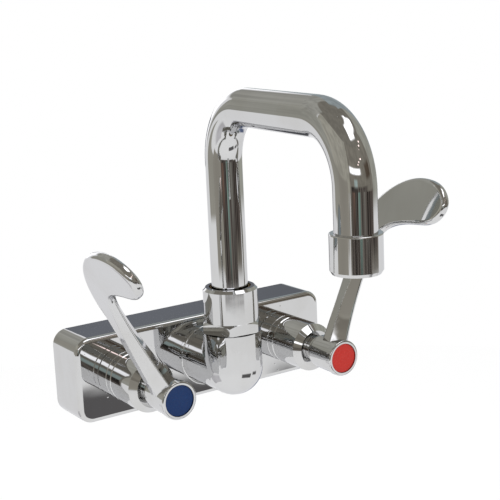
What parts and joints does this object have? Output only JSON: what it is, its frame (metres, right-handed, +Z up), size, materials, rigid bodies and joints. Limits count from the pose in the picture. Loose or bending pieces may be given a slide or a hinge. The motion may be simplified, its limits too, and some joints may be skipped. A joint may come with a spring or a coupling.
{
  "type": "commercial wall faucet",
  "caption": "Chrome wall-mounted mixing faucet: a block body with wrist-blade handles, an outlet elbow and a bent swing spout held by a swivel nut.",
  "frame": {"origin": "on the wall face of the body, midway between the two inlets, at the height of the valve axes", "axes": "+X to the right as seen by the user, +Z up, +Y into the wall; the faucet stands out toward -Y"},
  "size_m": [0.1879, 0.1867, 0.1698],
  "materials": {
    "chrome_body": "polished chrome plate on cast brass",
    "chrome_trim": "polished chrome plate on turned brass",
    "chrome_tube": "polished chrome plate on drawn tube",
    "chrome_handle": "polished chrome plate on a forging",
    "brass": "machined brass",
    "stainless": "plain stainless steel",
    "rubber": "black nitrile rubber",
    "ceramic": "lapped alumina ceramic",
    "nylon": "moulded nylon",
    "index_blue": "glossy blue plastic",
    "index_red": "glossy red plastic"
  },
  "bodies": {
    "faucet_body": {"valve_body": "chrome_body", "elbow_seat_ring": "chrome_trim", "outlet_elbow": "chrome_body", "swivel_nut": "chrome_trim", "spout_thrust_washer": "nylon", "left_seat_seal": "rubber", "left_cartridge_body": "brass", "left_fixed_disc": "ceramic", "left_lock_ring": "chrome_trim", "left_bonnet": "chrome_trim", "right_seat_seal": "rubber", "right_cartridge_body": "brass", "right_fixed_disc": "ceramic", "right_lock_ring": "chrome_trim", "right_bonnet": "chrome_trim"},
    "spout": {"spout_journal": "brass", "spout_o_rings": "rubber", "spout_tube": "chrome_tube", "outlet_collar": "chrome_trim", "aerator_washer": "rubber", "aerator_insert": "nylon", "aerator_screen": "stainless"},
    "left_valve_handle": {"left_handle": "chrome_handle", "left_cartridge_stem": "brass", "left_moving_disc": "ceramic", "left_stem_o_ring": "rubber", "left_stem_clip": "stainless", "left_handle_screw": "stainless", "left_index_button": "index_blue"},
    "right_valve_handle": {"right_handle": "chrome_handle", "right_cartridge_stem": "brass", "right_moving_disc": "ceramic", "right_stem_o_ring": "rubber", "right_stem_clip": "stainless", "right_handle_screw": "stainless", "right_index_button": "index_red"}
  },
  "joints": [
    {"name": "spout_swing", "type": "hinge", "parent": "faucet_body", "child": "spout", "pos_m": [0, -0.054, 0], "axis": [0, 0, 1], "range_deg": [-30, 41]},
    {"name": "left_valve_turn", "type": "hinge", "parent": "faucet_body", "child": "left_valve_handle", "pos_m": [-0.0508, 0, 0], "axis": [0, -1, 0], "range_deg": [0, 90]},
    {"name": "right_valve_turn", "type": "hinge", "parent": "faucet_body", "child": "right_valve_handle", "pos_m": [0.0508, 0, 0], "axis": [0, 1, 0], "range_deg": [0, 90]}
  ]
}
